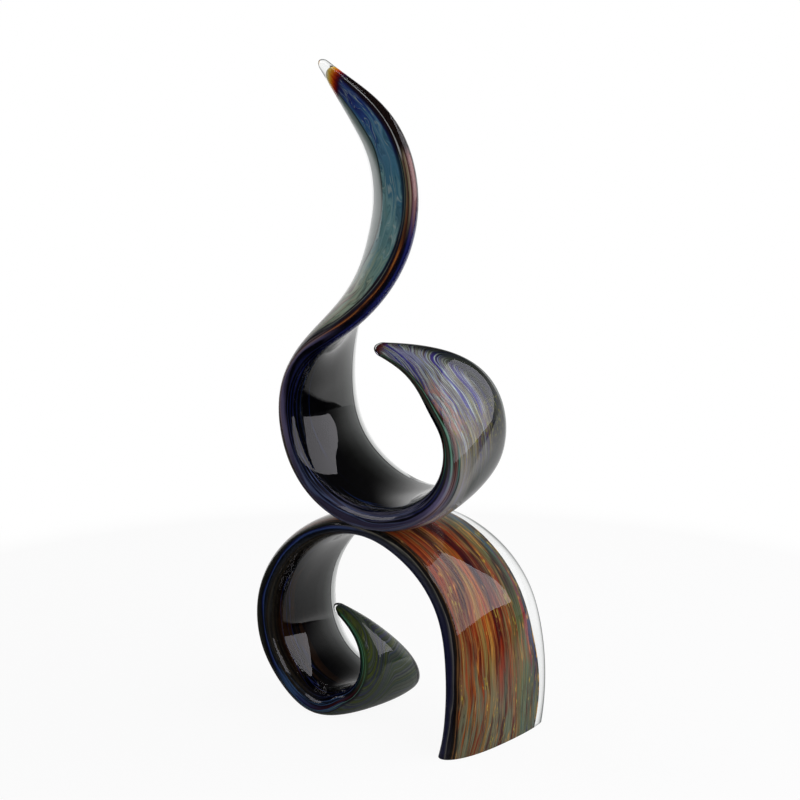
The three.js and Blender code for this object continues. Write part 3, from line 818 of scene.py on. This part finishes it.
def upper_band(glass):
    """Front edge of the upper ribbon: black with blue lines, orange or mauve; painted lilac sheen, shade,
    highlight.
    """
    glass.restart(50)
    place = glass.stray(glass.around, glass.around, (5, 90, 2, 4))
    leaf = glass.zones(place, [
        (-13, BLACK), (-9, (14, 26, 40)), (-8.2, (34, 72, 112)), (-7.4, (12, 18, 18)), (-6, (44, 66, 54)),
        (-5.2, (16, 20, 16)), (-4.2, (84, 34, 36)), (-3.4, (30, 26, 24)), (-2.2, (86, 140, 118)),
        (-1.6, (30, 38, 30)), (0.4, (78, 70, 62)), (1.2, (30, 38, 30)), (2.3, (112, 164, 140)),
        (2.8, (36, 46, 36)), (4.6, (36, 44, 30)), (5.6, (94, 26, 28)), (7.0, (54, 16, 20)),
        (8.0, (124, 98, 84)), (8.5, (40, 36, 28)), (9.6, (70, 120, 104)), (10.2, (34, 36, 26)),
        (12, (64, 66, 50)),
    ])
    # The lilac and pink on the curl's outer side, from 0.6 to 5.4 mm, are painted sheen of a lamp.
    curl = glass.zones(place, [
        (-18, BLACK), (-15.6, BLACK), (-14.9, (24, 50, 96)), (-14.2, BLACK), (-11, BLACK),
        (-10.3, (20, 30, 68)), (-9.6, BLACK), (-7.4, BLACK), (-6.8, (28, 34, 84)), (-6.2, (8, 8, 12)),
        (-4.6, BLACK), (-4.1, (26, 36, 86)), (-3.5, BLACK), (-1.8, (10, 10, 16)), (-1.2, (42, 46, 94)),
        (-0.7, (18, 18, 30)), (-0.2, (14, 13, 20)), (0.6, (116, 108, 150)), (2.0, (140, 130, 158)),
        (3.4, (164, 136, 138)), (4.4, (72, 58, 66)), (5.4, (140, 122, 120)), (7.0, (34, 30, 32)),
        (8.5, (104, 98, 110)), (11, (44, 42, 44)),
    ])
    neck = glass.zones(place, [
        (-14, BLACK), (-8, (16, 18, 50)), (-6, (34, 40, 100)), (-3.5, (26, 30, 78)), (-2.4, (16, 18, 46)),
        (-1.4, (36, 42, 106)), (-0.4, (14, 14, 28)), (0.6, (12, 12, 20)), (1.4, (46, 22, 20)),
        (2.4, (72, 34, 26)), (3.0, (196, 120, 60)), (3.6, (130, 76, 44)), (4.4, (34, 24, 26)),
        (5.4, (20, 24, 46)), (6.8, (34, 44, 70)), (7.6, (120, 126, 112)), (8.2, (26, 34, 46)),
        (10.5, (24, 38, 60)), (13, (44, 72, 90)),
    ])
    flame = glass.zones(place, [
        (-8, (18, 10, 12)), (-4.2, (28, 14, 16)), (-3.4, (112, 74, 72)), (-2.4, (164, 122, 116)),
        (-1.2, (124, 88, 88)), (-0.6, (60, 34, 30)), (0, (156, 140, 118)), (0.6, (96, 76, 60)),
        (1.2, (170, 160, 120)), (1.7, (56, 50, 42)), (2.8, (96, 66, 60)), (3.8, (128, 124, 92)),
        (4.3, (40, 50, 56)), (5.6, (26, 38, 54)), (6.6, (112, 128, 116)), (7.2, (34, 50, 66)),
        (10, (34, 58, 78)), (12, (56, 88, 100)),
    ])
    # Painted highlight: a white line from 3 to 3.7 mm round the nose, along the flame's shoulder.
    shoulder_highlight = glass.zones(place, [
        (-8, (16, 10, 10)), (2.6, (24, 14, 12)), (3.0, (216, 220, 220)), (3.7, (216, 220, 220)),
        (4.2, (40, 22, 22)), (8, (26, 22, 40)), (12, (34, 40, 92)),
    ])
    colour = glass.mix(glass.along(105, 145), leaf, curl)
    threads = glass.times(glass.stretch(145, 175, 245, 285), glass.between(place, -9, -6, 4, 7))
    colour = glass.under(colour, [
        # painted shade: a dark band along the nose where the ribbon sits on the lower one
        (PAINTED_SEAT_SHADE, glass.stretch(130, 160, 245, 300), glass.window(place, -1, 1), 0.72),
        # painted sheen: lilac-grey patches on the band at the bottom of the curl
        (LILAC_SHEEN, glass.patches(place, 3, 60, 0.35), glass.stretch(120, 150, 210, 250), 0.6),
        (PALE_BLUE, glass.lines(place, 2.2, 130, 0.08), threads, 0.75),
    ])
    colour = glass.mix(glass.along(362, 396), colour, neck)
    line = glass.times(glass.along(375, 400), glass.window(place, 0.5, 1.5))
    colour = glass.under(colour, [(SHADE_RED, glass.patches(place, 2.4, 26, 0.42), line, 0.7)])
    colour = glass.mix(glass.along(458, 488), colour, flame)
    return glass.mix(glass.along(500, 508), colour, shoulder_highlight)


def upper_inner(glass):
    """Inner face of the upper ribbon: black, blue lines in front, grey at the back as painted light."""
    glass.restart(70)
    flow = glass.stray(glass.across, glass.across, (40, 70, 1, 5))
    # The grey towards the back edge is painted light: the white glow the face shows there.
    colour = glass.zones(flow, [
        (-20, BLACK), (-4, BLACK), (8, (20, 21, 20)), (20, (48, 50, 48)), (32, (88, 91, 88)),
        (38, (124, 128, 124)),
    ])
    front = glass.window(flow, -14, -26)
    return glass.under(colour, [(DEEP_BLUE, glass.lines(flow, 8, 160, 0.03), front, 0.8)])


def outer_side(glass, band, face, start, nearer=0.0):
    """A front edge that runs into an outer face, at a start in mm round from its middle."""
    place = glass.total(glass.stray(glass.around, glass.across, (7, 40, 3, 5)), nearer)
    return glass.mix(glass.window(place, start, start + 3), band, face)


def inner_side(glass, band, face):
    """A front edge that runs into an inner face."""
    place = glass.stray(glass.around, glass.across, (7, 60, 2, 5))
    return glass.mix(glass.window(place, -12, -17), band, face)


def lower_outside(glass):
    face = glass.mix(glass.along(380, 440), arch_face(glass), tail_face(glass))
    return outer_side(glass, lower_band(glass), face, 5)


def lower_inside(glass):
    return inner_side(glass, lower_band(glass), lower_inner(glass))


def upper_outside(glass):
    face = glass.mix(glass.along(250, 330), leaf_face(glass), flame_face(glass))
    return outer_side(glass, upper_band(glass), face, 10, nearer=glass.times(glass.along(125, 70), 6.5))


def upper_inside(glass):
    return inner_side(glass, upper_band(glass), upper_inner(glass))


def both_sides(glass, inside, outside):
    return glass.mix(glass.window(glass.around, -1, 1), inside, outside)


def lower_tip(glass):
    """The lower tail's end: the same streaks, a little greener."""
    colour = both_sides(glass, lower_inside(glass), lower_outside(glass))
    return glass.under(colour, [(FERN, glass.along(525, 545), 0.5)])


def flame_tip(glass):
    """The flame's end: its own streaks, then purple, red, orange and yellow."""
    colour = both_sides(glass, upper_inside(glass), upper_outside(glass))
    slant = glass.total(glass.run, glass.times(glass.across, 0.08))
    slant = glass.stray(slant, glass.across, (6, 30, 2, 4))
    fire = glass.zones(slant, [
        (562, (36, 26, 80)), (566, (66, 18, 44)), (569, (128, 24, 22)), (572, (204, 70, 20)),
        (575, (232, 142, 36)), (578, (240, 206, 90)), (582, (240, 234, 200)),
    ])
    return glass.mix(glass.window(slant, 561, 567), colour, fire)


def lower_veil(glass):
    """The thin veil of the lower ribbon, whose back edge shows as a ragged fringe on the arch."""
    dark = glass.larger(glass.patches(glass.across, 4, 14, 0.55, 3), glass.along(175, 195))
    return glass.mix(dark, srgb(*AMBER), srgb(*SOOT))


def upper_veil(glass):
    """The thin veil of the upper ribbon, which has no fringe."""
    return srgb(*SOOT)


def coloured(name, ribbon, seed, paint):
    """A piece's glass: paint gives its colour."""
    glass = Streaks(name, ribbon, seed)
    return glass.solid(paint(glass))


# Clear glass, as shares of the light it passes; the grey and the dark rim are painted shade
CLEAR = (0.98, 0.99, 0.985)
CURL_SHADE_GREY = (0.42, 0.43, 0.425)
RIM_SHADE = (0.015, 0.02, 0.018)


def clear_glass(name, ribbon, curl, clear_run, dark_run, rim_width, rim_facing):
    """Clear glass that lets lamps and soft light reach what is inside it.

    Its rim has a painted dark shade where a face turns away from the eye: on the back edge outside
    the curl, beyond the colour at the tip (from clear_run on), and all round up to dark_run, where
    no clear edge shows. Inside the curl, a stretch of the run, the back edge has painted grey shade.
    Places are in mm, and rim_facing is how far a face turns away from the eye where the rim starts.
    """
    tree = Streaks(name, ribbon, 0)
    facing = tree.add("ShaderNodeLayerWeight", {"Blend": 0.5}).outputs["Facing"]
    curled = tree.stretch(curl[0], curl[0] + 20, curl[1] - 30, curl[1])
    back = tree.window(tree.across, tree.edge - rim_width, tree.edge - rim_width / 2)
    back = tree.times(back, tree.math("SUBTRACT", 1.0, curled))
    bare = tree.larger(back, tree.along(clear_run, clear_run + 4))
    # Painted shade: a dark rim where a face turns away from the eye, and grey on the back edge inside the
    # curl.
    rim_shade = tree.times(tree.window(facing, rim_facing, rim_facing + 0.2), bare)
    around = tree.times(tree.along(dark_run + 30, dark_run), tree.window(tree.across, -38, -18))
    deep_rim_shade = tree.times(tree.window(facing, 0.3, 0.65), around)
    curl_shade = tree.times(tree.window(tree.across, tree.edge, tree.edge - 8), curled)
    tint = tree.mix(tree.larger(rim_shade, deep_rim_shade), tree.mix(curl_shade, CLEAR, CURL_SHADE_GREY), RIM_SHADE)

    inputs = {"Base Color": tint, "Roughness": 0.0, "IOR": 1.5, "Transmission Weight": 1.0}
    glass = tree.add("ShaderNodeBsdfPrincipled", inputs)
    rays = tree.add("ShaderNodeLightPath")
    soft = tree.larger(rays.outputs["Is Shadow Ray"], rays.outputs["Is Diffuse Ray"])
    tree.blend(soft, glass, tree.add("ShaderNodeBsdfTransparent"))
    return tree.material


CASINGS = {
    "lower": clear_glass(
        "lower_casing_glass", lower,
        curl=(225, 470), clear_run=538, dark_run=-40, rim_width=12, rim_facing=0.56,
    ),
    "upper": clear_glass(
        "upper_casing_glass", upper,
        curl=(150, 400), clear_run=578, dark_run=130, rim_width=3, rim_facing=0.5,
    ),
}
PAINTS = {
    "streaked_layer": {"lower": lower_outside, "upper": upper_outside},
    "amber_veil": {"lower": lower_veil, "upper": upper_veil},
    "dark_layer": {"lower": lower_inside, "upper": upper_inside},
    "outer_cane": {"lower": lower_outside, "upper": upper_outside},
    "middle_cane": {"lower": lower_band, "upper": upper_band},
    "inner_cane": {"lower": lower_inside, "upper": upper_inside},
    "colored_tip": {"lower": lower_tip, "upper": flame_tip},
}
SEEDS = {"lower": 3.0, "upper": 40.0}

# Every piece, cut off flat at the ground, at the seat or at the upper ribbon's own flat
GROUND, TOP = 0.0, upper_flat + UPPER_RISE + upper.thickness
fine = {}
ribbons = {"lower": lower, "upper": upper}
for ribbon, low, high in ((lower, GROUND, seat_height), (upper, upper_flat, TOP)):
    bodies = {"clear_casing": casing(ribbon), **core_pieces(ribbon)}
    for part, piece in bodies.items():
        finish_mesh(piece, low, high)
        fine[f"{ribbon.name}_{part}"] = piece

# The solids' origin is under the middle of their box, so the fine casing is moved onto its solid.
corners = np.array([vertex.co for vertex in fine["lower_clear_casing"].data.vertices])
cad_low, cad_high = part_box("lower_clear_casing")
shift = [(cad_low[i] + cad_high[i]) / 2 - (corners[:, i].min() + corners[:, i].max()) / 2 for i in (0, 1)]

for node, piece in fine.items():
    for vertex in piece.data.vertices:
        vertex.co.x += shift[0]
        vertex.co.y += shift[1]
    side, part = node.split("_", 1)
    if part == "clear_casing":
        material = CASINGS[side]
    else:
        material = coloured(f"{node}_glass", ribbons[side], SEEDS[side], PAINTS[part][side])
    piece.data.materials.append(material)
    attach(piece, "root")
    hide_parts(node)
film = bpy.data.objects["seat_bond_film"]
for slot in film.material_slots:
    slot.material = CASINGS["lower"]

# Camera of the photograph. Its aim is counted as the stations are, sideways and back from the
# seat, and up from the ground.
CAMERA_AZIMUTH = 38
CAMERA_ELEVATION = 13
CAMERA_DISTANCE = 1.5
LENS = 98.1
SENSOR = 36
AIM = (0.024, -0.027, 0.242)


def direction(azimuth, elevation):
    """Unit vector from the sculpture: azimuth in degrees from -Y towards +X, elevation above level."""
    turn, lift = math.radians(azimuth), math.radians(elevation)
    return Vector((math.sin(turn) * math.cos(lift), -math.cos(turn) * math.cos(lift), math.sin(lift)))


def aimed(name, data, azimuth, elevation, distance):
    """A camera or lamp that faces the sculpture."""
    holder = bpy.data.objects.new(name, data)
    outward = direction(azimuth, elevation)
    holder.location = target + outward * distance
    holder.rotation_euler = outward.to_track_quat("Z", "Y").to_euler()
    scene.collection.objects.link(holder)
    return holder


target = Vector((AIM[0] + shift[0], AIM[1] + shift[1], AIM[2]))
view = bpy.data.cameras.new("camera")
view.lens = LENS
view.sensor_width = SENSOR
scene.camera = aimed("camera", view, CAMERA_AZIMUTH, CAMERA_ELEVATION, CAMERA_DISTANCE)

LAMP_COLOUR = (0.96, 0.94, 1.0)


def softbox(name, azimuth, elevation, distance, width, height, brightness):
    """A rectangular lamp; its brightness is its own, where white paper is 1."""
    lamp = bpy.data.lights.new(name, "AREA")
    lamp.shape = "RECTANGLE"
    lamp.size, lamp.size_y = width, height
    lamp.energy = brightness * math.pi * width * height
    lamp.color = LAMP_COLOUR
    aimed(name, lamp, azimuth, elevation, distance)


softbox("right_softbox", azimuth=115, elevation=35, distance=1.0, width=1.65, height=1.3, brightness=1.8)
softbox("left_softbox", azimuth=-75, elevation=52, distance=1.3, width=0.5, height=0.9, brightness=1.6)

# White paper behind the sculpture, which only reflections see: towards two azimuths
PAPER_LEFT = -115
PAPER_BACK = 169


def past(tree, place, azimuth, start, soft):
    """1 where a place lies more than start from the middle towards an azimuth."""
    reach = tree.add("ShaderNodeVectorMath", {0: place, 1: direction(azimuth, 0)}, operation="DOT_PRODUCT")
    return tree.window(reach.outputs["Value"], start - soft, start + soft)


def after_glass(tree, rays):
    """1 for rays that glass reflects or lets through."""
    return tree.larger(rays.outputs["Is Glossy Ray"], rays.outputs["Is Transmission Ray"])


def straight_view(tree, rays):
    """1 for what is seen directly, or through glass without a reflection on the way."""
    unreflected = tree.math("LESS_THAN", rays.outputs["Glossy Depth"], 0.5)
    through = tree.math("MULTIPLY", rays.outputs["Is Transmission Ray"], unreflected)
    return tree.larger(rays.outputs["Is Camera Ray"], through)


# White table that keeps the sculpture's shadow. Lamps and soft light see a plain white table, and
# the camera sees it as white, and whiter the further it is from the sculpture. Reflections see
# the white paper that leads away behind the sculpture, brighter with distance.
FLOOR = 30.0
FLOOR_DROP = 0.0002
TABLE_COLOUR = (0.8, 0.8, 0.8)
TABLE_WHITE = 0.93
PAPER_NEAR = 0.36
PAPER_GAIN = 0.5
floor_mesh = bpy.data.meshes.new("floor")
floor_corners = [(-FLOOR, -FLOOR, 0), (FLOOR, -FLOOR, 0), (FLOOR, FLOOR, 0), (-FLOOR, FLOOR, 0)]
floor_mesh.from_pydata(floor_corners, [], [(0, 1, 2, 3)])
floor = bpy.data.objects.new("floor", floor_mesh)
floor.location.z = -FLOOR_DROP
scene.collection.objects.link(floor)
paper = Tree("white_floor")
spot = paper.add("ShaderNodeTexCoord").outputs["Object"]
distance = paper.add("ShaderNodeVectorMath", {0: spot}, operation="LENGTH").outputs["Value"]
rays = paper.add("ShaderNodeLightPath")
clear_view = straight_view(paper, rays)
sheet = paper.times(
    past(paper, spot, PAPER_LEFT, -0.14, 0.05),
    past(paper, spot, PAPER_BACK, 0.0, 0.12),
    paper.total(PAPER_NEAR, paper.times(paper.window(distance, 0.15, 0.8), PAPER_GAIN)),
)
diffuse = paper.add("ShaderNodeBsdfDiffuse", {"Color": TABLE_COLOUR})
glow = paper.add("ShaderNodeEmission", {"Color": (1, 1, 1), "Strength": paper.larger(clear_view, sheet)})
white_share = paper.times(clear_view, paper.larger(paper.window(distance, 0.15, 0.6), TABLE_WHITE))
share = paper.larger(white_share, paper.math("SUBTRACT", after_glass(paper, rays), clear_view))
paper.blend(share, diffuse, glow)
floor_mesh.materials.append(paper.material)

# The studio: white to the camera, soft light all round, and for reflections a dark room with
# the white paper that rises behind the sculpture.
AMBIENT = 0.24
ROOM = 0.024
PAPER = 0.68
world = bpy.data.worlds.new("studio")
scene.world = world
world.use_nodes = True
sky = Tree.of(world.node_tree)
where = sky.add("ShaderNodeTexCoord").outputs["Generated"]
height = sky.add("ShaderNodeSeparateXYZ", {0: where}).outputs["Z"]
backdrop = sky.times(
    past(sky, where, PAPER_LEFT, 0.0, 0.2),
    past(sky, where, PAPER_BACK, 0.0, 0.15),
    sky.window(height, 0.6, 0.08),
)
reflected = sky.total(ROOM, sky.times(backdrop, PAPER))
rays = sky.add("ShaderNodeLightPath")
light = sky.mix_value(after_glass(sky, rays), AMBIENT, reflected)
light = sky.mix_value(straight_view(sky, rays), light, 1.0)
background = sky.add("ShaderNodeBackground", {"Color": (1, 1, 1), "Strength": light})
sky.add("ShaderNodeOutputWorld", {"Surface": background.outputs[0]})

scene.view_settings.view_transform = "Standard"
